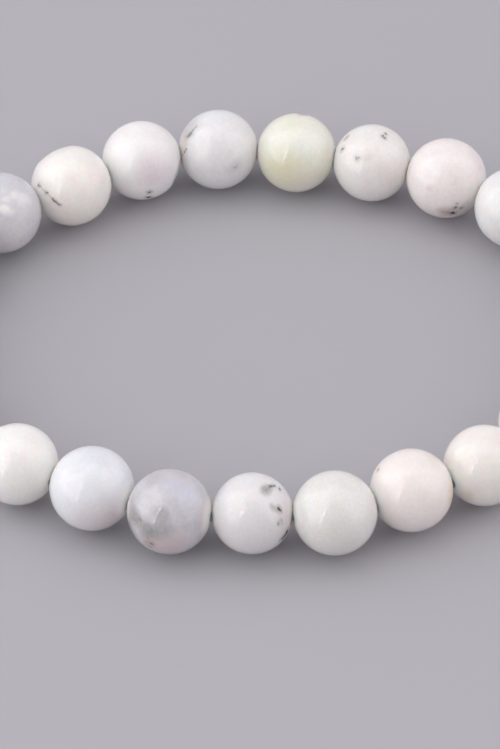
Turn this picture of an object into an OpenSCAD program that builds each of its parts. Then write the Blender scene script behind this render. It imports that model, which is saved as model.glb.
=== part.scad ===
// Beaded bracelet: one whole loop of round drilled stones, threaded on clear
// elastic and lying flat in an oval. Millimetres, +Z up. The origin is under
// the middle of the loop, on the surface that the beads rest on, and the
// longer way across the oval is along X.

/* [Beads] */
// Diameter of a plain bead
bead_d = 8.1; // [7:0.05:9]
// How much is worn flat off each end, where a bead meets its neighbour
end_flat = 0.1; // [0.05:0.01:0.15]
// Gap between one bead and the next
bead_gap = 0.05; // [0.03:0.01:0.3]
// Diameter of the hole drilled through each bead
bore_d = 1.0; // [0.95:0.05:1.2]
// Diameter of the hole's mouth, where its edge is broken
mouth_d = 1.6; // [1.5:0.05:1.8]

/* [Loop] */
// Width of the oval divided by its length
loop_ratio = 0.745; // [0.6:0.005:1]
// Where the first bead lies round the oval, in degrees from +X
first_turn = -91.6; // [-180:0.1:180]

/* [Thread] */
// Diameter of the elastic thread
thread_d = 0.5; // [0.3:0.05:0.6]

/* [Hidden] */
$fn = 64;

MILK = "#ece9e6";
IVORY = "#f0e8dc";
BLUSH = "#ecdfdc";
STRAW = "#e0dfbe";
SAGE = "#e0e2da";
BLUE = "#e2e5ef";
SMOKE = "#b9bac8";
CLEAR = "#f4f4f4";

// One row a bead, counter-clockwise from the middle of the front
TONE = 0; // colour of the stone
MORE = 1; // its diameter, less bead_d
OUT = 2;  // how far it lies outside the plain oval
BEADS = [
    [MILK,  -0.25, -0.15],
    [SAGE,   0.05,   0.8],
    [IVORY, -0.05,  0.15],
    [IVORY,  -0.2,  0.65],
    [SAGE,      0,  0.25],
    [BLUSH,  0.05,     0],
    [MILK,   -0.1,     0],
    [BLUE,      0,   0.4],
    [MILK,   0.15,  0.85],
    [BLUSH,   0.1,  0.35],
    [BLUSH, -0.15,  -0.3],
    [STRAW,  0.05, -0.35],
    [MILK,    0.1,  0.15],
    [BLUSH,  0.05,  0.05],
    [IVORY,   0.1, -0.75],
    [BLUE,    0.2,  0.05],
    [SMOKE, -0.05,     0],
    [MILK,    0.1,     0],
    [IVORY,     0,     0],
    [MILK,  -0.05, -0.05],
    [IVORY, -0.15,  -0.2],
    [BLUE,    0.1, -0.65],
    [SMOKE,   0.1,   0.3],
];
count = len(BEADS);
last = count - 1;

// Rounds of halving when an angle or the oval's size is searched for
HALVINGS = 30;
// Most that one bead can turn round the oval, in degrees
STEP_MAX = 40;

function after(i) = (i + 1) % count;
function before(i) = (i + last) % count;
function bead_r(i) = (bead_d + BEADS[i][MORE]) / 2;
// From a bead's middle to where it is flat
function reach(i) = bead_r(i) - end_flat;
function pitch(i) = reach(i) + bead_gap + reach(after(i));
function total(list, i = 0) = i == len(list) ? 0 : list[i] + total(list, i + 1);
string_l = total([for (i = [0:last]) pitch(i)]);

// A bead's centre, seen from above: at an angle round an oval of half-length
// a, and out from it by the bead's own offset
function spot(a, turn, i) =
    let (
        b = a * loop_ratio,
        way_out = [cos(turn) / a, sin(turn) / b]
    )
    [a * cos(turn), b * sin(turn)] + BEADS[i][OUT] * way_out / norm(way_out);

// The angle at which the next bead lies one pitch further on
function next_turn(a, turn, i, low = 0, high = STEP_MAX, left = HALVINGS) =
    let (
        step = (low + high) / 2,
        apart = norm(spot(a, turn + step, after(i)) - spot(a, turn, i))
    )
    left == 0 ? turn + step :
    apart < pitch(i) ? next_turn(a, turn, i, step, high, left - 1) :
    next_turn(a, turn, i, low, step, left - 1);

// Every bead's angle, and last of all the first bead's again
function turns(a, turn = first_turn, i = 0) =
    i == count ? [turn] : concat([turn], turns(a, next_turn(a, turn, i), i + 1));

// The half-length at which the string of beads just closes
function closing_a(low, high, left = HALVINGS) =
    let (
        a = (low + high) / 2,
        round_trip = turns(a)[count] - first_turn
    )
    left == 0 ? a :
    round_trip > 360 ? closing_a(a, high, left - 1) :
    closing_a(low, a, left - 1);

round_r = string_l / (2 * PI);
oval_a = closing_a(round_r * 0.95, round_r / loop_ratio);
oval_turns = turns(oval_a);
loose = [for (i = [0:last]) spot(oval_a, oval_turns[i], i)];
middle = [
    for (k = [0, 1])
    let (
        low = min([for (i = [0:last]) loose[i][k] - bead_r(i)]),
        high = max([for (i = [0:last]) loose[i][k] + bead_r(i)])
    )
    (low + high) / 2
];
// Each bead's centre: the beads all rest on one flat surface
centres = [
    for (i = [0:last])
    [loose[i][0] - middle[0], loose[i][1] - middle[1], bead_r(i)]
];
// Each bead's hole is drilled along the loop, from neighbour to neighbour
ways = [
    for (i = [0:last])
    let (across = centres[after(i)] - centres[before(i)])
    [across[0], across[1], 0] / norm([across[0], across[1]])
];

// The thread bends just inside the mouths of each hole, where it leans across
// the hole towards the mouth that it faces, and it has a ring of points at each
// bend and at each bead's middle
bend_depth = (mouth_d - bore_d) / 2 + 0.05;
lean_max = (bore_d - thread_d) / 2 - 0.05;
thread_sides = 8;

function sideways(i) = [ways[i][1], -ways[i][0], 0];
function bend(i, end) = centres[i] + end * (bead_r(i) - bend_depth) * ways[i];
function facing(i, end) = end > 0 ? bend(after(i), -1) : bend(before(i), 1);
function lean(i, end) =
    let (wanted = (facing(i, end) - bend(i, end)) * sideways(i) / 2)
    max(-lean_max, min(lean_max, wanted));
rings = [
    for (i = [0:last], end = [-1:1])
    [
        end == 0 ? centres[i] : bend(i, end) + lean(i, end) * sideways(i),
        sideways(i)
    ]
];

function bead_name(i) = str("bead_", i < 9 ? "0" : "", i + 1);

// The angle of a level line, in degrees from +X
function heading(line) = atan2(line[1], line[0]);

// A stone ball drilled right through along the loop, with the edge broken at
// both mouths and a flat towards each neighbour. The ball's own seam is turned
// away from the hole.
module bead(i) {
    r = bead_r(i);
    bevel = (mouth_d - bore_d) / 2;
    mouth_at = sqrt(r * r - mouth_d * mouth_d / 4);
    color(BEADS[i][TONE])
    translate(centres[i])
    difference() {
        rotate([0, 0, heading(ways[i]) + 90]) sphere(r = r);
        rotate([0, 90, heading(ways[i])])
            cylinder(d = bore_d, h = bead_d + 2, center = true);
        for (end = [-90, 90])
            rotate([0, end, heading(ways[i])])
            translate([0, 0, mouth_at - bevel])
            cylinder(r1 = bore_d / 2, r2 = bore_d / 2 + 2 * bevel, h = 2 * bevel);
        for (next = [before(i), after(i)])
            rotate([0, 0, heading(centres[next] - centres[i])])
            translate([reach(i), -r, -r])
            cube([r, 2 * r, 2 * r]);
    }
}

// The closed loop of elastic that runs through every bead
module thread() {
    n = len(rings);
    points = [
        for (ring = rings, k = [0:thread_sides - 1])
        let (angle = (k + 0.5) * 360 / thread_sides)
        ring[0] + thread_d / 2 * (cos(angle) * ring[1] + [0, 0, sin(angle)])
    ];
    sides = [
        for (j = [0:n - 1], k = [0:thread_sides - 1])
        let (
            near = j * thread_sides,
            far = (j + 1) % n * thread_sides,
            k2 = (k + 1) % thread_sides
        )
        [near + k, near + k2, far + k2, far + k]
    ];
    color(CLEAR) polyhedron(points, sides);
}

for (i = [0:last])
    bead(i);
thread();
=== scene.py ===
# Beaded bracelet: drilled opal stones and clear elastic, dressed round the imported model.
import math
import random

import bmesh
import bpy
from mathutils import Matrix, Vector


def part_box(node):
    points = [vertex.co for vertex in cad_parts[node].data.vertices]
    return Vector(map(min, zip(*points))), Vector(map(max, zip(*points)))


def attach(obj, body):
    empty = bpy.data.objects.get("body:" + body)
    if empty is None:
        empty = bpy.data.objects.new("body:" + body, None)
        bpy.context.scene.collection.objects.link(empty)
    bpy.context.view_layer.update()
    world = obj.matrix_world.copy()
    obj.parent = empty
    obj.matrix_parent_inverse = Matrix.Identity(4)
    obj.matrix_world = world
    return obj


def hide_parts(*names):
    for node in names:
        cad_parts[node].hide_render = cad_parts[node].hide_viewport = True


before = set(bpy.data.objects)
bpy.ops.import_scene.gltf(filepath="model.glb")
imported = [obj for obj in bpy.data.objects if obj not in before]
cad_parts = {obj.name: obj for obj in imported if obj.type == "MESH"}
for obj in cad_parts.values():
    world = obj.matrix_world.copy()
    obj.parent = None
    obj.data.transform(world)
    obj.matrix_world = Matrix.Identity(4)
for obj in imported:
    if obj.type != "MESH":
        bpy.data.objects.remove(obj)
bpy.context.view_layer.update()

MM = 0.001
# Stone 0 is bead_01, and so on round the loop
STONE_COUNT = 23

# The camera: where it looks, in millimetres, from where, and how near and far it sees, in metres
AIM_MM = (-0.44, -6.58, 4.0)
AZIMUTH = math.radians(-2.5)
ELEVATION = math.radians(47.53)
CAMERA_AWAY = 434 * MM
LENS_MM = 212.4
SENSOR_MM = 36.0
NEAR_CLIP = 0.02
FAR_CLIP = 20

# The stones' shape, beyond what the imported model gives: the gap between two flats, the hole,
# the rounding of its mouths, and the lumps that polishing leaves
CONTACT_GAP = 0.006 * MM
BORE_R = 0.5 * MM
RIM_R = 0.05 * MM
LUMP_HEIGHT = 0.05 * MM
LUMP_SIZE = 3.5 * MM
LUMP_DETAIL = 1.0
# Stones that aren't round: where on the disc a side is low or high, by how much in
# millimetres, and how far round it reaches, in degrees. The others are even.
UNEVEN = {
    14: ((-0.42, 0.90), -0.13, 32),
    13: ((0.94, -0.34), -0.12, 26),
    0: ((-0.87, 0.50), -0.05, 30),
}
EVEN = ((0, 0), 0.0, 40)
# Points on a stone's outline, round its hole, and in the rounding of a mouth
OUTLINE_POINTS = 96
RING_POINTS = 96
RIM_POINTS = 4
# A point this near to the plane of a flat lies in it, in metres
FLAT_NEARNESS = 1e-7

# The elastic: how deep in a hole its bends lie, how far across the hole they lean at most, and
# how round it is, where 0 is four-sided and each step adds two sides
ELASTIC_R = 0.25 * MM
BEND_DEPTH = 0.35 * MM
LEAN_MAX = 0.2 * MM
ELASTIC_ROUNDNESS = 3

# Colours, linear
FLOOR_COLOUR = (0.43, 0.415, 0.445)
SPECK = (0.022, 0.016, 0.016)
SMEAR = (0.30, 0.28, 0.27)
WHITE = (0.92, 0.90, 0.885)
# A pale colour painted on the drilled ends: painted light that lightens the shaded contact
# between stones, in place of light passing through them
PAINTED_GLOW = (0.99, 0.945, 0.905)

# One row a stone: its kind of opal, its body colour, the colour of its clouds, how strongly they
# show, how far light travels in it, in millimetres, and how grainy its colour is
SLOT, BODY, CLOUD, CLOUDING, DEPTH, MOTTLE = range(6)
STONES = [
    ("milk", (0.8, 0.78, 0.785), (0.75, 0.73, 0.73), 0.3, 1.6, 0.15),
    ("sage", (0.81, 0.795, 0.775), (0.75, 0.735, 0.71), 0.4, 1.6, 0.2),
    ("ivory", (0.905, 0.84, 0.815), (0.86, 0.78, 0.74), 0.3, 1.4, 0.15),
    ("ivory", (0.88, 0.84, 0.81), (0.84, 0.78, 0.73), 0.3, 1.4, 0.15),
    ("sage", (0.81, 0.79, 0.77), (0.73, 0.72, 0.69), 0.5, 1.6, 0.25),
    ("blush", (0.87, 0.82, 0.81), (0.8, 0.72, 0.71), 0.5, 1.4, 0.2),
    ("milk", (0.85, 0.83, 0.82), (0.79, 0.76, 0.75), 0.4, 1.4, 0.2),
    ("blue", (0.82, 0.83, 0.86), (0.76, 0.77, 0.82), 0.5, 1.8, 0.25),
    ("milk", (0.84, 0.83, 0.82), (0.8, 0.78, 0.77), 0.3, 1.4, 0.15),
    ("blush", (0.9, 0.845, 0.83), (0.84, 0.76, 0.75), 0.5, 1.4, 0.2),
    ("blush", (0.865, 0.83, 0.81), (0.82, 0.77, 0.75), 0.4, 1.4, 0.2),
    ("straw", (0.835, 0.835, 0.76), (0.78, 0.77, 0.64), 0.5, 1.8, 0.2),
    ("milk", (0.815, 0.805, 0.81), (0.76, 0.745, 0.75), 0.5, 1.5, 0.2),
    ("blush", (0.9, 0.875, 0.865), (0.85, 0.78, 0.79), 0.4, 1.4, 0.15),
    ("ivory", (0.92, 0.87, 0.835), (0.87, 0.8, 0.76), 0.4, 1.4, 0.15),
    ("blue", (0.655, 0.65, 0.68), (0.6, 0.59, 0.625), 0.6, 2.4, 0.25),
    ("smoke", (0.6, 0.59, 0.62), (0.44, 0.43, 0.45), 0.8, 2.6, 0.4),
    ("milk", (0.85, 0.83, 0.82), (0.79, 0.77, 0.76), 0.4, 1.4, 0.2),
    ("ivory", (0.88, 0.84, 0.8), (0.84, 0.78, 0.72), 0.4, 1.4, 0.15),
    ("milk", (0.85, 0.83, 0.82), (0.79, 0.77, 0.76), 0.4, 1.4, 0.2),
    ("ivory", (0.915, 0.885, 0.865), (0.86, 0.82, 0.79), 0.3, 1.4, 0.15),
    ("blue", (0.825, 0.83, 0.86), (0.8, 0.79, 0.83), 0.4, 1.8, 0.15),
    ("smoke", (0.635, 0.62, 0.66), (0.55, 0.54, 0.57), 0.5, 2.6, 0.25),
]

# Soft patches, a row each: stone, where its middle shows on the stone's disc from the camera
# (x to the right and y up, in radii), its size in radii, its colour, and how strong it is
ROSE = (0.66, 0.52, 0.52)
MAUVE = (0.70, 0.58, 0.65)
HONEY = (0.76, 0.60, 0.36)
LIME = (0.72, 0.67, 0.40)
ASH = (0.20, 0.205, 0.20)
MIST = (0.62, 0.63, 0.74)
RUSSET = (0.40, 0.20, 0.15)
OLIVE = (0.24, 0.24, 0.20)
PATCHES = [
    (15, (0.07, 0.12), 0.22, WHITE, 0.85),
    (15, (0.22, 0.02), 0.20, WHITE, 0.55),
    (15, (0.14, 0.38), 0.20, WHITE, 0.60),
    (15, (0.36, 0.46), 0.24, WHITE, 0.55),
    (15, (0.60, 0.32), 0.26, WHITE, 0.45),
    (15, (0.48, -0.35), 0.40, WHITE, 0.15),
    (15, (0.15, -0.75), 0.75, WHITE, 0.36),
    (15, (0.15, -0.80), 0.60, ROSE, 0.18),
    (14, (0.65, 0.15), 0.60, ROSE, 0.14),
    (14, (0.00, -0.80), 0.60, HONEY, 0.10),
    (13, (0.35, -0.25), 0.75, MAUVE, 0.42),
    (13, (-0.65, 0.00), 0.55, WHITE, 0.70),
    (12, (0.42, -0.46), 0.36, ROSE, 0.32),
    (12, (-0.72, 0.38), 0.20, SMEAR, 0.25),
    (12, (-0.90, 0.15), 0.45, HONEY, 0.16),
    (12, (-0.78, 0.50), 0.62, ASH, 0.34),
    (12, (-0.90, -0.15), 0.55, ASH, 0.18),
    (12, (0.75, 0.20), 0.35, WHITE, 0.40),
    (11, (-0.42, -0.50), 0.85, LIME, 0.44),
    (11, (-0.92, 0.05), 0.40, LIME, 0.10),
    (11, (-0.10, 0.72), 0.50, LIME, 0.26),
    (11, (0.85, -0.35), 0.60, LIME, 0.22),
    (11, (0.20, -0.72), 0.60, HONEY, 0.16),
    (11, (0.15, 0.97), 0.20, RUSSET, 0.60),
    (11, (0.15, 0.40), 0.60, WHITE, 0.25),
    (10, (-0.20, 0.08), 0.24, SMEAR, 0.14),
    (10, (-0.69, 0.61), 0.16, SMEAR, 0.35),
    (10, (0.55, -0.25), 0.55, ROSE, 0.10),
    (9, (0.75, 0.45), 0.55, ROSE, 0.16),
    (9, (-0.35, -0.21), 0.18, ROSE, 0.40),
    (9, (0.03, -0.85), 0.34, RUSSET, 0.42),
    (9, (0.38, -0.84), 0.52, SMEAR, 0.46),
    (9, (-0.25, -0.92), 0.65, SMEAR, 0.20),
    (21, (-0.42, 0.47), 0.24, SMEAR, 0.12),
    (21, (0.25, -0.78), 0.95, ROSE, 0.42),
    (21, (0.05, 0.75), 0.60, MIST, 0.25),
    (22, (-0.80, -0.16), 0.30, OLIVE, 0.60),
    (22, (-0.92, -0.38), 0.50, OLIVE, 0.55),
    (22, (-0.97, 0.08), 0.50, ASH, 0.42),
    (22, (-0.58, -0.32), 0.36, OLIVE, 0.35),
    (22, (-0.26, -0.05), 0.26, ASH, 0.50),
    (22, (-0.24, -0.40), 0.48, ASH, 0.38),
    (22, (-0.48, -0.52), 0.40, OLIVE, 0.35),
    (22, (-0.44, -0.76), 0.28, RUSSET, 0.45),
    (22, (0.00, -0.82), 0.70, ROSE, 0.50),
    (22, (0.85, -0.05), 0.50, ROSE, 0.40),
    (22, (0.40, 0.40), 0.50, MIST, 0.50),
    (22, (0.02, 0.70), 0.40, MIST, 0.35),
    (22, (-0.35, 0.80), 0.40, ASH, 0.22),
    (22, (-0.66, 0.36), 0.50, ASH, 0.13),
    (22, (0.10, 0.90), 0.60, ASH, 0.10),
    (0, (0.88, -0.15), 0.70, ROSE, 0.28),
    (0, (0.36, 0.61), 0.27, SMEAR, 0.70),
    (0, (0.58, 0.13), 0.17, SMEAR, 0.70),
    (0, (0.66, -0.20), 0.15, SMEAR, 0.30),
    (2, (0.97, -0.05), 0.40, HONEY, 0.50),
    (2, (0.50, 0.78), 0.45, HONEY, 0.16),
    (3, (-0.80, -0.25), 0.50, HONEY, 0.30),
    (3, (-0.46, -0.72), 0.36, HONEY, 0.42),
]

# Flecks, a row each: stone, where it starts and ends on the disc, its width in radii, and
# how dark it is
FLECKS = [
    (14, (-0.81, 0.045), (-0.80, 0.035), 0.034, 0.68),
    (14, (-0.79, 0.03), (-0.62, -0.15), 0.018, 0.36),
    (14, (-0.63, -0.15), (-0.61, -0.165), 0.034, 0.55),
    (14, (-0.60, -0.17), (-0.48, -0.30), 0.015, 0.26),
    (14, (-0.47, -0.31), (-0.41, -0.37), 0.030, 0.68),
    (14, (-0.37, -0.41), (-0.30, -0.47), 0.028, 0.54),
    (13, (0.17, -0.81), (0.175, -0.81), 0.044, 0.95),
    (13, (0.14, -0.93), (0.16, -0.94), 0.046, 0.90),
    (13, (0.25, -0.95), (0.29, -0.95), 0.040, 0.20),
    (12, (-0.73, 0.36), (-0.69, 0.39), 0.042, 0.55),
    (12, (-0.67, 0.42), (-0.54, 0.575), 0.022, 0.46),
    (12, (-0.78, 0.32), (-0.74, 0.35), 0.030, 0.34),
    (12, (-0.90, -0.11), (-0.89, -0.13), 0.028, 0.42),
    (12, (-0.85, -0.07), (-0.79, 0.01), 0.020, 0.50),
    (12, (0.41, -0.455), (0.44, -0.45), 0.040, 0.23),
    (10, (0.33, 0.755), (0.335, 0.75), 0.034, 0.64),
    (10, (0.25, 0.695), (0.255, 0.69), 0.034, 0.70),
    (10, (0.305, 0.65), (0.315, 0.655), 0.036, 0.55),
    (10, (-0.78, 0.325), (-0.77, 0.335), 0.046, 0.66),
    (10, (-0.75, 0.55), (-0.63, 0.68), 0.030, 0.24),
    (10, (-0.39, 0.10), (-0.37, 0.10), 0.050, 0.38),
    (9, (0.25, -0.73), (0.255, -0.725), 0.042, 0.70),
    (9, (0.39, -0.73), (0.395, -0.725), 0.038, 0.74),
    (9, (0.20, -0.86), (0.215, -0.86), 0.054, 0.92),
    (9, (0.29, -0.62), (0.295, -0.62), 0.028, 0.42),
    (9, (-0.05, -0.84), (0.15, -0.85), 0.040, 0.20),
    (0, (0.43, 0.64), (0.53, 0.68), 0.038, 0.62),
    (0, (0.66, 0.58), (0.67, 0.59), 0.034, 0.60),
    (0, (0.64, 0.12), (0.67, 0.07), 0.046, 0.85),
    (0, (0.69, 0.05), (0.70, 0.10), 0.026, 0.50),
    (0, (0.63, -0.23), (0.635, -0.26), 0.030, 0.34),
    (0, (0.70, -0.16), (0.705, -0.17), 0.024, 0.28),
    (0, (0.74, -0.60), (0.85, -0.44), 0.060, 0.98),
    (0, (0.93, -0.28), (0.965, -0.14), 0.026, 0.75),
    (2, (-0.82, 0.44), (-0.81, 0.45), 0.034, 0.75),
    (22, (-0.43, -0.73), (-0.41, -0.75), 0.034, 0.55),
    (22, (-0.48, -0.80), (-0.46, -0.81), 0.030, 0.40),
    (22, (-0.52, -0.60), (-0.51, -0.61), 0.026, 0.18),
    (22, (-0.69, -0.16), (-0.67, -0.20), 0.036, 0.24),
]

# The photo doesn't show the stones' far sides, so their flecks are scattered by chance. How
# many clusters a stone has, in turn, and how many flecks a cluster has, from least to most
FLECK_SEED = 500
CLUSTERS = (2, 0, 2, 1)
CLUSTER_FLECKS = (2, 5)
# How far a cluster is drawn out and scattered, and how long and wide its flecks are, all in
# stone radii, and how dark they are
CLUSTER_LENGTH = 0.12
CLUSTER_SCATTER = 0.04
FLECK_LENGTHS = (0.005, 0.02, 0.09)
FLECK_WIDTHS = (0.016, 0.040)
FLECK_STRENGTHS = (0.4, 0.95)
# The cosine to the camera's way past which a direction shows, and the stones that don't show
SHOWN_SIDE = -0.1
OUT_OF_SIGHT = (5, 6, 7, 16, 17, 18)


def stone_name(number):
    return f"bead_{number + 1:02d}"


def stone_place(number):
    """Centre and radius of a stone, from its solid in the frame."""
    low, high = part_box(stone_name(number))
    return (low + high) / 2, (high.z - low.z) / 2


PLACES = [stone_place(n) for n in range(STONE_COUNT)]


def place(number):
    """Centre and radius of a stone, with the numbers going on round the loop."""
    return PLACES[number % STONE_COUNT]


def way(number):
    """The direction of a stone's hole: from the one neighbour to the other."""
    across = place(number + 1)[0] - place(number - 1)[0]
    across.z = 0
    return across.normalized()


def camera_back():
    """The direction from what the camera looks at to the camera."""
    flat = math.cos(ELEVATION)
    return Vector((math.sin(AZIMUTH) * flat, -math.cos(AZIMUTH) * flat, math.sin(ELEVATION)))


CAMERA_AT = Vector(AIM_MM) * MM + camera_back() * CAMERA_AWAY


def seen(number, x, y):
    """The direction from a stone's middle to the spot at x, y on its disc from the camera."""
    back = (CAMERA_AT - place(number)[0]).normalized()
    right = Vector((0, 0, 1)).cross(back).normalized()
    up = back.cross(right)
    depth = math.sqrt(max(0.0, 1 - x * x - y * y))
    return (right * x + up * y + back * depth).normalized()


def any_way(chance):
    """A random direction."""
    return Vector([chance.gauss(0, 1) for _ in range(3)]).normalized()


def scattered_flecks(number):
    """Clusters of flecks on the side that the camera doesn't see, in a row each: where it
    starts and ends, as directions from the stone's middle, its width in radii, and how dark
    it is."""
    chance = random.Random(FLECK_SEED + number)
    toward = seen(number, 0, 0)
    flecks = []
    for _ in range(CLUSTERS[number % len(CLUSTERS)]):
        middle = any_way(chance)
        while middle.dot(toward) > SHOWN_SIDE and number not in OUT_OF_SIGHT:
            middle = any_way(chance)
        drawn_out = any_way(chance)
        for _ in range(chance.randint(*CLUSTER_FLECKS)):
            along = drawn_out * chance.gauss(0, CLUSTER_LENGTH)
            start = middle + along + any_way(chance) * CLUSTER_SCATTER
            end = start + drawn_out * chance.choice(FLECK_LENGTHS)
            width = chance.uniform(*FLECK_WIDTHS)
            strength = chance.uniform(*FLECK_STRENGTHS)
            flecks.append((start.normalized(), end.normalized(), width, strength))
    return flecks


def new_object(name, data):
    """An object with this data, put in the scene."""
    thing = bpy.data.objects.new(name, data)
    bpy.context.scene.collection.objects.link(thing)
    return thing


def add_camera():
    data = bpy.data.cameras.new("camera")
    data.lens = LENS_MM
    data.sensor_width = SENSOR_MM
    data.clip_start = NEAR_CLIP
    data.clip_end = FAR_CLIP
    camera = new_object("camera", data)
    camera.location = CAMERA_AT
    camera.rotation_euler = (-camera_back()).to_track_quat("-Z", "Y").to_euler()
    bpy.context.scene.camera = camera


# A colour mix has several sockets of the same name, so its own are told by number
MIX_AMOUNT, MIX_FIRST, MIX_SECOND = 0, 6, 7
MIX_RESULT = 2
# A noise goes up and down about its middle, and what follows it changes between two heights
NOISE_MIDDLE = 0.5
NOISE_RANGE = (0.3, 0.7)


class Graph:
    """A node tree under construction."""

    def __init__(self, tree):
        self.tree = tree

    def add(self, kind, *values, out=0, **named):
        """Adds a node. Values go to its inputs in order and named ones by name; a name in
        small letters is a setting of the node itself. Returns one output, or the node."""
        node = self.tree.nodes.new(kind)
        for name, value in named.items():
            if name[0].islower():
                setattr(node, name, value)
        for socket, value in zip(node.inputs, values):
            self.feed(socket, value)
        for name, value in named.items():
            if not name[0].islower():
                self.feed(node.inputs[name.replace("_", " ")], value)
        return node if out is None else node.outputs[out]

    def feed(self, socket, value):
        """Joins a socket to an output, or sets its value."""
        if isinstance(value, bpy.types.NodeSocket):
            self.tree.links.new(value, socket)
        else:
            socket.default_value = value

    def math(self, operation, *values, clamp=False):
        return self.add("ShaderNodeMath", *values, operation=operation, use_clamp=clamp)

    def vector(self, operation, *values, out="Vector"):
        return self.add("ShaderNodeVectorMath", *values, operation=operation, out=out)

    def scaled(self, vector, factor):
        return self.add("ShaderNodeVectorMath", vector, operation="SCALE", Scale=factor)

    def dot(self, first, second):
        return self.vector("DOT_PRODUCT", first, second, out="Value")

    def distance(self, first, second):
        return self.vector("DISTANCE", first, second, out="Value")

    def blend(self, amount, first, second):
        """A mix of two colours: all the first at an amount of 0, all the second at 1."""
        node = self.add("ShaderNodeMix", data_type="RGBA", out=None)
        for socket, value in ((MIX_AMOUNT, amount), (MIX_FIRST, first), (MIX_SECOND, second)):
            self.feed(node.inputs[socket], (*value, 1) if isinstance(value, tuple) else value)
        return node.outputs[MIX_RESULT]

    def ease(self, value, here, there, start=0.0, end=1.0):
        """A smooth change from start to end as the value goes from here to there."""
        return self.add("ShaderNodeMapRange", value, here, there, start, end,
                        interpolation_type="SMOOTHSTEP")

    def noise(self, spot, scale, detail, seed=0.0, out=0):
        return self.add("ShaderNodeTexNoise", Vector=spot, W=seed, Scale=scale, Detail=detail,
                        noise_dimensions="4D", out=out)

    def stray(self, spot, noise, reach, seed):
        """The spot, moved to the sides by a noise."""
        pull = self.noise(spot, *noise, seed, out="Color")
        aside = self.vector("SUBTRACT", pull, (NOISE_MIDDLE,) * 3)
        return self.vector("ADD", spot, self.scaled(aside, reach))

    def place_from(self, centre, unit):
        """The place on the object, measured from a centre in this unit."""
        where = self.add("ShaderNodeTexCoord", out="Object")
        return self.add("ShaderNodeMapping", where, -centre / unit, (0, 0, 0), (1 / unit,) * 3)

    def group(self, tree, **values):
        """Uses a node group with these inputs. Returns its outputs."""
        return self.add("ShaderNodeGroup", node_tree=tree, out=None, **values).outputs

    def shade(self, **finish):
        """Ends a material with one shader of this finish."""
        shader = self.add("ShaderNodeBsdfPrincipled", **finish)
        self.add("ShaderNodeOutputMaterial", shader, out=None)


def new_tree(name, kind, inputs, outputs):
    """A node group with these sockets, each a name and a kind. Returns its graph, what it is
    given and what it has to give back."""
    tree = bpy.data.node_groups.new(name, kind)
    for direction, sockets in (("INPUT", inputs), ("OUTPUT", outputs)):
        for label, socket_kind in sockets.items():
            socket_type = "NodeSocket" + socket_kind
            tree.interface.new_socket(label, in_out=direction, socket_type=socket_type)
    graph = Graph(tree)
    given = graph.add("NodeGroupInput", out=None).outputs
    result = graph.add("NodeGroupOutput", out=None).inputs
    return graph, given, result


def new_material(name):
    """A material with nothing in it yet, and its graph."""
    material = bpy.data.materials.new(name)
    material.use_nodes = True
    material.node_tree.nodes.clear()
    return material, Graph(material.node_tree)


def stone_outline(g, given):
    """The D-shaped outline that a stone is turned from, with its straight side along the hole
    and rounded mouths."""
    half_mouth = g.math("ARCSINE", g.math("DIVIDE", given["Bore"], given["Radius"]))
    start = g.math("ADD", half_mouth, -math.pi / 2)
    sweep = g.math("SUBTRACT", math.pi, g.math("MULTIPLY", half_mouth, 2.0))
    arc = g.add("GeometryNodeCurveArc", Resolution=OUTLINE_POINTS, Radius=given["Radius"],
                Start_Angle=start, Sweep_Angle=sweep, mode="RADIUS")
    # Only the ends of the arc are rounded, where the hole's mouths will be
    mouth = g.add("GeometryNodeCurveEndpointSelection")
    marked = g.add("GeometryNodeStoreNamedAttribute", Geometry=arc, Name="mouth", Value=mouth,
                   data_type="FLOAT", domain="POINT")
    closed = g.add("GeometryNodeSetSplineCyclic", Geometry=marked, Cyclic=True)
    is_mouth = g.add("GeometryNodeInputNamedAttribute", Name="mouth", data_type="FLOAT")
    rounding = g.math("MULTIPLY", is_mouth, given["Rim"])
    rounded = g.add("GeometryNodeFilletCurve", Curve=closed, Count=RIM_POINTS, Radius=rounding,
                    mode="POLY")
    # The ring that the outline is swept along is as wide as the hole, so it moves in by that
    inset = g.add("ShaderNodeCombineXYZ", g.math("MULTIPLY", given["Bore"], -1.0))
    return g.add("GeometryNodeSetPosition", Geometry=rounded, Offset=inset)


def stone_lumps(g, given):
    """How far the skin moves in or out: by a slow noise, and where one side is low or high."""
    spot = g.add("GeometryNodeInputPosition")
    outward = g.vector("NORMALIZE", spot)
    noise = g.noise(spot, g.math("DIVIDE", 1.0, given["Lump size"]), LUMP_DETAIL, given["Seed"])
    height = g.math("MULTIPLY", g.math("SUBTRACT", noise, NOISE_MIDDLE), given["Lump height"])
    side = g.ease(g.dot(outward, given["Side"]), given["Side reach"], 1.0, 0.0,
                  given["Side height"])
    return g.scaled(outward, g.math("ADD", height, side))


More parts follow.
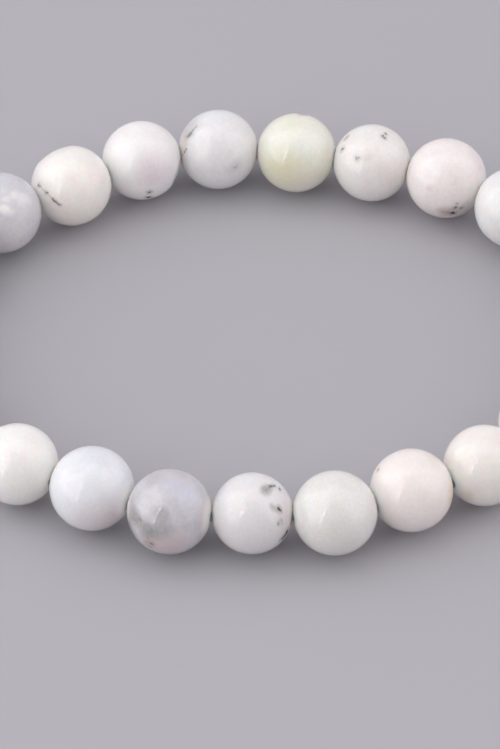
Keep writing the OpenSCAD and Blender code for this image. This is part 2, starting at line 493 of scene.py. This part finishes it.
def stone_tree():
    """A ball drilled right through, turned about its hole, with slight lumps."""
    g, given, result = new_tree("drilled_stone", "GeometryNodeTree", {
        "Radius": "Float",
        "Bore": "Float",
        "Rim": "Float",
        "Lump height": "Float",
        "Lump size": "Float",
        "Side": "Vector",
        "Side height": "Float",
        "Side reach": "Float",
        "Seed": "Float",
        "Centre": "Vector",
        "Way": "Vector",
        "Material": "Material",
    }, {"Stone": "Geometry"})
    ring = g.add("GeometryNodeCurvePrimitiveCircle", Resolution=RING_POINTS,
                 Radius=given["Bore"], mode="RADIUS")
    ball = g.add("GeometryNodeCurveToMesh", Curve=ring, Profile_Curve=stone_outline(g, given))
    ball = g.add("GeometryNodeRemoveAttribute", Geometry=ball, Name="mouth")
    turned = g.add("FunctionNodeAlignRotationToVector", Vector=given["Way"], axis="Z")
    ball = g.add("GeometryNodeTransform", Geometry=ball, Rotation=turned)
    ball = g.add("GeometryNodeSetPosition", Geometry=ball, Offset=stone_lumps(g, given))
    ball = g.add("GeometryNodeTransform", Geometry=ball, Translation=given["Centre"])
    ball = g.add("GeometryNodeSetShadeSmooth", Geometry=ball)
    ball = g.add("GeometryNodeRealizeInstances", Geometry=ball)
    ball = g.add("GeometryNodeSetMaterial", Geometry=ball, Material=given["Material"])
    g.feed(result["Stone"], ball)
    return g.tree


def plain_mesh(maker):
    """The finished mesh of an object, which is then removed."""
    bpy.context.view_layer.update()
    shape = maker.evaluated_get(bpy.context.evaluated_depsgraph_get())
    mesh = bpy.data.meshes.new_from_object(shape)
    bpy.data.objects.remove(maker)
    return mesh


def grow(name, tree, values):
    """Runs a shape's tree with these inputs and keeps the result as a plain mesh."""
    start_mesh = bpy.data.meshes.new(name + "_start")
    maker = new_object(name + "_maker", start_mesh)
    modifier = maker.modifiers.new("nodes", "NODES")
    modifier.node_group = tree
    for socket in tree.interface.items_tree:
        if socket.in_out == "INPUT":
            modifier[socket.identifier] = values[socket.name]
    mesh = plain_mesh(maker)
    mesh.name = name
    bpy.data.meshes.remove(start_mesh)
    return new_object(name, mesh)


def cut_flats(mesh, number):
    """Where a stone would reach past the plane halfway to its neighbour, it is flat."""
    centre, radius = place(number)
    shape = bmesh.new()
    shape.from_mesh(mesh)
    for step in (-1, 1):
        other, other_r = place(number + step)
        line = other - centre
        reach = (line.length + radius - other_r) / 2 - CONTACT_GAP
        line.normalize()
        everything = shape.verts[:] + shape.edges[:] + shape.faces[:]
        cut = bmesh.ops.bisect_plane(shape, geom=everything, dist=FLAT_NEARNESS,
                                     plane_co=centre + line * reach, plane_no=line,
                                     clear_outer=True)
        rim = [part for part in cut["geom_cut"] if isinstance(part, bmesh.types.BMEdge)]
        filled = bmesh.ops.triangle_fill(shape, edges=rim, use_beauty=True, normal=line)
        for part in filled["geom"]:
            if isinstance(part, bmesh.types.BMFace):
                part.smooth = False
    shape.to_mesh(mesh)
    shape.free()


# The noises of a stone's look, a row each: how many waves it has in a radius, and its detail
FRAY = (9.0, 3.0)
DRIFT = (1.3, 2.0)
CLOUDS = (1.7, 4.0)
WISPS = (4.5, 4.0)
MOTTLING = (14.0, 4.0)
DULLING = (3.0, 3.0)
PITTING = (22.0, 3.0)
MARK_GRAIN = (16.0, 2.0)
# How far marks are frayed and clouds are drawn about, in radii
FRAY_REACH = 0.07
DRIFT_REACH = 0.5
# Between which heights of their noise clouds and wisps grow to the full, and how much wisps add
CLOUD_RANGE = (0.42, 0.64)
WISP_RANGE = (0.50, 0.72)
WISP_SHARE = 0.5
STONE_ROUGHNESS = (0.03, 0.06)


def body_tree():
    """The stone's own colour: soft clouds, a fine mottle, and the places and grain that its
    flecks and patches follow. Place is in stone radii from the stone's middle."""
    g, given, result = new_tree("opal_body", "ShaderNodeTree", {
        "Place": "Vector",
        "Body": "Color",
        "Cloud": "Color",
        "Clouding": "Float",
        "Mottle": "Float",
        "Seed": "Float",
    }, {
        "Colour": "Color",
        "Roughness": "Float",
        "Height": "Float",
        "Drifted": "Vector",
        "Ragged": "Vector",
        "Grain": "Float",
    })
    spot, seed = given["Place"], given["Seed"]
    ragged = g.stray(spot, FRAY, FRAY_REACH, seed)
    drifted = g.stray(spot, DRIFT, DRIFT_REACH, seed)
    clouds = g.ease(g.noise(drifted, *CLOUDS, seed), *CLOUD_RANGE)
    wisps = g.ease(g.noise(drifted, *WISPS, seed), *WISP_RANGE)
    both = g.math("ADD", clouds, g.math("MULTIPLY", wisps, WISP_SHARE))
    amount = g.math("MULTIPLY", both, given["Clouding"])
    clouded = g.blend(amount, given["Body"], given["Cloud"])
    mottling = g.math("SUBTRACT", g.noise(ragged, *MOTTLING, seed), NOISE_MIDDLE)
    brightness = g.math("MULTIPLY_ADD", mottling, given["Mottle"], 1.0)
    g.feed(result["Colour"], g.add("ShaderNodeHueSaturation", Value=brightness, Color=clouded))
    dulling = g.noise(spot, *DULLING, seed)
    g.feed(result["Roughness"], g.ease(dulling, *NOISE_RANGE, *STONE_ROUGHNESS))
    g.feed(result["Height"], g.noise(spot, *PITTING, seed))
    g.feed(result["Drifted"], drifted)
    g.feed(result["Ragged"], ragged)
    g.feed(result["Grain"], g.noise(spot, *MARK_GRAIN, seed))
    return g.tree


# A patch grows to the full from its edge to its heart, in shares of its size, and the grain
# weakens or strengthens it by these factors
PATCH_FADE = (1.0, 0.15)
PATCH_GRAIN = (0.8, 1.15)


def patch_tree():
    """How much of a soft patch shows at a place."""
    g, given, result = new_tree("soft_patch", "ShaderNodeTree", {
        "Place": "Vector",
        "Grain": "Float",
        "Middle": "Vector",
        "Size": "Float",
        "Strength": "Float",
    }, {"Amount": "Float"})
    away = g.distance(given["Place"], given["Middle"])
    share = g.ease(g.math("DIVIDE", away, given["Size"]), *PATCH_FADE)
    grainy = g.math("MULTIPLY", share, g.ease(given["Grain"], *NOISE_RANGE, *PATCH_GRAIN))
    g.feed(result["Amount"], g.math("MULTIPLY", grainy, given["Strength"], clamp=True))
    return g.tree


# A fleck and its fainter halo grow to the full between these distances, in widths of the
# fleck, and the grain moves their edge out or in
CORE_FADE = (1.30, 0.35)
HALO_FADE = (3.4, 0.7)
HALO_SHARE = 0.55
EDGE_GRAIN_RANGE = (0.35, 0.65)
EDGE_SHIFT = (0.35, -0.30)
# The least squared length of a fleck, in radii, so that a dot has one too
LEAST_LENGTH = 0.00001


def fleck_tree():
    """A dark fleck or a thin seam from one place to another: its core and its grey halo."""
    g, given, result = new_tree("fleck", "ShaderNodeTree", {
        "Place": "Vector",
        "Grain": "Float",
        "From": "Vector",
        "To": "Vector",
        "Width": "Float",
        "Strength": "Float",
    }, {"Core": "Float", "Halo": "Float"})
    along = g.vector("SUBTRACT", given["To"], given["From"])
    out = g.vector("SUBTRACT", given["Place"], given["From"])
    long = g.math("MAXIMUM", g.dot(along, along), LEAST_LENGTH)
    share = g.math("DIVIDE", g.dot(out, along), long, clamp=True)
    nearest = g.vector("ADD", given["From"], g.scaled(along, share))
    widths = g.math("DIVIDE", g.distance(given["Place"], nearest), given["Width"])
    shift = g.ease(given["Grain"], *EDGE_GRAIN_RANGE, *EDGE_SHIFT)
    uneven = g.math("ADD", widths, shift)
    core = g.ease(uneven, *CORE_FADE)
    halo = g.ease(uneven, *HALO_FADE, 0.0, HALO_SHARE)
    g.feed(result["Core"], g.math("MULTIPLY", core, given["Strength"]))
    g.feed(result["Halo"], g.math("MULTIPLY", halo, given["Strength"]))
    return g.tree


def add_patches(g, number, body, look, colour):
    """The colour with the stone's soft patches on it."""
    for stone, middle, size, tint, strength in PATCHES:
        if stone == number:
            patch = g.group(look, Place=body["Drifted"], Grain=body["Grain"],
                            Middle=seen(number, *middle), Size=size, Strength=strength)
            colour = g.blend(patch["Amount"], colour, tint)
    return colour


def add_flecks(g, number, body, look, colour):
    """The colour with the stone's flecks and their halos on it."""
    flecks = [(seen(number, *start), seen(number, *end), width, strength)
              for stone, start, end, width, strength in FLECKS if stone == number]
    core = halo = 0.0
    for start, end, width, strength in flecks + scattered_flecks(number):
        fleck = g.group(look, Place=body["Ragged"], Grain=body["Grain"], From=start, To=end,
                        Width=width, Strength=strength)
        core = g.math("MAXIMUM", core, fleck["Core"])
        halo = g.math("MAXIMUM", halo, fleck["Halo"])
    return g.blend(core, g.blend(halo, colour, SMEAR), SPECK)


# Each stone's noises are its own, a step further on than the last one's
SEED_STEP = 3.7
# Where the painted light on the drilled ends starts and is full, in radii along the hole, and
# how much of the stone's own colour it keeps. The ends are painted paler to lighten the shaded
# contact between stones.
PAINTED_GLOW_RANGE = (0.81, 0.985)
OWN_SHARE = 0.15
STONE_IOR = 1.62
# How far red, green and blue light travel in a stone, in shares of its depth
LIGHT_TRAVEL = (1.0, 0.72, 0.6)
PIT_STRENGTH = 0.2
PIT_DEPTH = 0.004 * MM


def stone_material(number, looks):
    """Polished opal, with the stone's own marks, and with drilled ends painted paler: painted
    light that lightens the shaded contact between stones, in place of light passing through
    them."""
    body_look, patch_look, fleck_look = looks
    row = STONES[number]
    material, g = new_material(f"opal_{number + 1:02d}")
    spot = g.place_from(*place(number))
    body = g.group(body_look, Place=spot, Body=(*row[BODY], 1), Cloud=(*row[CLOUD], 1),
                   Clouding=row[CLOUDING], Mottle=row[MOTTLE], Seed=number * SEED_STEP)
    colour = add_patches(g, number, body, patch_look, body["Colour"])
    along = g.math("ABSOLUTE", g.dot(spot, way(number)))
    # Painted light: the drilled ends turn paler, lightening the shaded contact between stones
    painted_glow = tuple(OWN_SHARE * own + (1 - OWN_SHARE) * pale
                  for own, pale in zip(row[BODY], PAINTED_GLOW))
    colour = g.blend(g.ease(along, *PAINTED_GLOW_RANGE), colour, painted_glow)
    colour = add_flecks(g, number, body, fleck_look, colour)
    pits = g.add("ShaderNodeBump", Strength=PIT_STRENGTH, Distance=PIT_DEPTH,
                 Height=body["Height"])
    g.shade(Base_Color=colour, Roughness=body["Roughness"], IOR=STONE_IOR,
            Subsurface_Weight=1.0, Subsurface_Radius=LIGHT_TRAVEL,
            Subsurface_Scale=row[DEPTH] * MM, Normal=pits)
    return material


# The elastic's noises, with their waves in a millimetre
STREAKS = (1.6, 3.0)
RUBBING = (5.0, 3.0)
SCUFFS = (9.0, 2.0)
DULL_CLEAR = (0.80, 0.81, 0.80)
PALE_CLEAR = (0.95, 0.95, 0.94)
ELASTIC_ROUGHNESS = (0.15, 0.4)
ELASTIC_IOR = 1.5
ELASTIC_CLEARNESS = 0.5
SCUFF_STRENGTH = 0.3
SCUFF_DEPTH = 0.005 * MM


def elastic_material():
    """Clear elastic: slightly milky, with soft streaks and dull places from rubbing."""
    material, g = new_material("clear_elastic")
    spot = g.place_from(Vector((0, 0, 0)), MM)
    colour = g.blend(g.noise(spot, *STREAKS), DULL_CLEAR, PALE_CLEAR)
    rough = g.ease(g.noise(spot, *RUBBING), *NOISE_RANGE, *ELASTIC_ROUGHNESS)
    scuffs = g.add("ShaderNodeBump", Strength=SCUFF_STRENGTH, Distance=SCUFF_DEPTH,
                   Height=g.noise(spot, *SCUFFS))
    g.shade(Base_Color=colour, Roughness=rough, IOR=ELASTIC_IOR,
            Transmission_Weight=ELASTIC_CLEARNESS, Normal=scuffs)
    return material


def add_stones():
    tree = stone_tree()
    looks = (body_tree(), patch_tree(), fleck_tree())
    for number in range(STONE_COUNT):
        centre, radius = place(number)
        side, side_height, side_reach = UNEVEN.get(number, EVEN)
        stone = grow(f"stone_{number + 1:02d}", tree, {
            "Radius": radius,
            "Bore": BORE_R,
            "Rim": RIM_R,
            "Lump height": LUMP_HEIGHT,
            "Lump size": LUMP_SIZE,
            "Side": seen(number, *side),
            "Side height": side_height * MM,
            "Side reach": math.cos(math.radians(side_reach)),
            "Seed": float(number),
            "Centre": centre,
            "Way": way(number),
            "Material": stone_material(number, looks),
        })
        cut_flats(stone.data, number)
        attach(stone, "root")
        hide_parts(stone_name(number))


def bend(number, end):
    """Where the elastic would bend in the middle of a stone's hole, near the end that faces the
    stone after (1) or before (-1)."""
    centre, radius = place(number)
    return centre + way(number) * end * (radius - BEND_DEPTH)


def leaning_bend(number, end):
    """The bend, moved across the hole towards the mouth that it faces."""
    here = bend(number, end)
    facing = bend(number + end, -end)
    sideways = Vector((way(number).y, -way(number).x, 0))
    lean = max(-LEAN_MAX, min(LEAN_MAX, (facing - here).dot(sideways) / 2))
    return here + sideways * lean


def elastic_points():
    """The elastic's route: a bend just inside each mouth and the middle of each hole, as in
    the part's source."""
    points = []
    for number in range(STONE_COUNT):
        middle = place(number)[0]
        points += [leaning_bend(number, -1), middle, leaning_bend(number, 1)]
    return points


def add_elastic():
    data = bpy.data.curves.new("elastic", "CURVE")
    data.dimensions = "3D"
    data.bevel_depth = ELASTIC_R
    data.bevel_resolution = ELASTIC_ROUNDNESS
    points = elastic_points()
    spline = data.splines.new("POLY")
    spline.points.add(len(points) - 1)
    for target, point in zip(spline.points, points):
        target.co = (*point, 1)
    spline.use_cyclic_u = True
    mesh = plain_mesh(new_object("elastic_curve", data))
    mesh.materials.append(elastic_material())
    mesh.shade_smooth()
    elastic = new_object("elastic", mesh)
    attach(elastic, "root")
    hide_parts("thread")


# Half the floor's width, in metres
FLOOR_HALF = 0.52
FLOOR_ROUGHNESS = 0.8


def add_floor():
    mesh = bpy.data.meshes.new("floor")
    corners = [(x * FLOOR_HALF, y * FLOOR_HALF, -LUMP_HEIGHT / 2)
               for x, y in ((-1, -1), (1, -1), (1, 1), (-1, 1))]
    mesh.from_pydata(corners, [], [(0, 1, 2, 3)])
    material, g = new_material("floor")
    g.shade(Base_Color=(*FLOOR_COLOUR, 1), Roughness=FLOOR_ROUGHNESS)
    mesh.materials.append(material)
    new_object("floor", mesh)


# The studio. One row a soft panel: one corner and the edges that run from it, in metres, and
# its power in watts
PANELS = {
    "left_board": ((-0.50, -0.42, 0.02), (0, 0.75, 0), (0.22, 0, 0.73), 2.36),
    "right_board": ((0.50, -0.42, 0.02), (0, 0.68, 0), (-0.22, 0, 0.73), 1.45),
    "top_strip": ((-0.24, -0.12, 0.76), (0.48, 0, 0), (0, 0.66, 0), 0.7),
    "board_edge": ((-0.47, -0.41, 0.08), (0.02, -0.02, 0), (0.165, 0, 0.52), 0.27),
}
SKY = (0.56, 0.55, 0.59)
# The open front of the studio, where the camera stands, is darker. It grows to the full
# between these cosines of the angle from its middle.
OPENING_WAY = (0.0, -0.80, 0.60)
OPENING = (0.34, 0.34, 0.345)
OPENING_EDGE = (0.45, 0.80)


def add_panel(name, corner, along, rise, power):
    """A soft panel, turned to shine towards the bracelet."""
    data = bpy.data.lights.new(name, "AREA")
    data.shape = "RECTANGLE"
    data.size = along.length
    data.size_y = rise.length
    data.energy = power
    lamp = new_object(name, data)
    lamp.location = corner + along / 2 + rise / 2
    # A lamp shines backwards, so its face is turned away from the bracelet
    if along.cross(rise).dot(lamp.location) < 0:
        along = -along
    facing = along.cross(rise).normalized()
    turned = Matrix((along.normalized(), rise.normalized(), facing)).transposed()
    lamp.rotation_euler = turned.to_euler()
    lamp.visible_camera = False


def add_studio():
    for name, (corner, along, rise, power) in PANELS.items():
        add_panel(name, Vector(corner), Vector(along), Vector(rise), power)
    world = bpy.data.worlds.new("studio")
    bpy.context.scene.world = world
    world.use_nodes = True
    g = Graph(world.node_tree)
    facing = g.dot(g.add("ShaderNodeTexCoord", out="Generated"), OPENING_WAY)
    sky = g.blend(g.ease(facing, *OPENING_EDGE), SKY, OPENING)
    g.feed(world.node_tree.nodes["Background"].inputs["Color"], sky)
    bpy.context.scene.view_settings.view_transform = "Standard"


add_camera()
add_stones()
add_elastic()
add_floor()
add_studio()
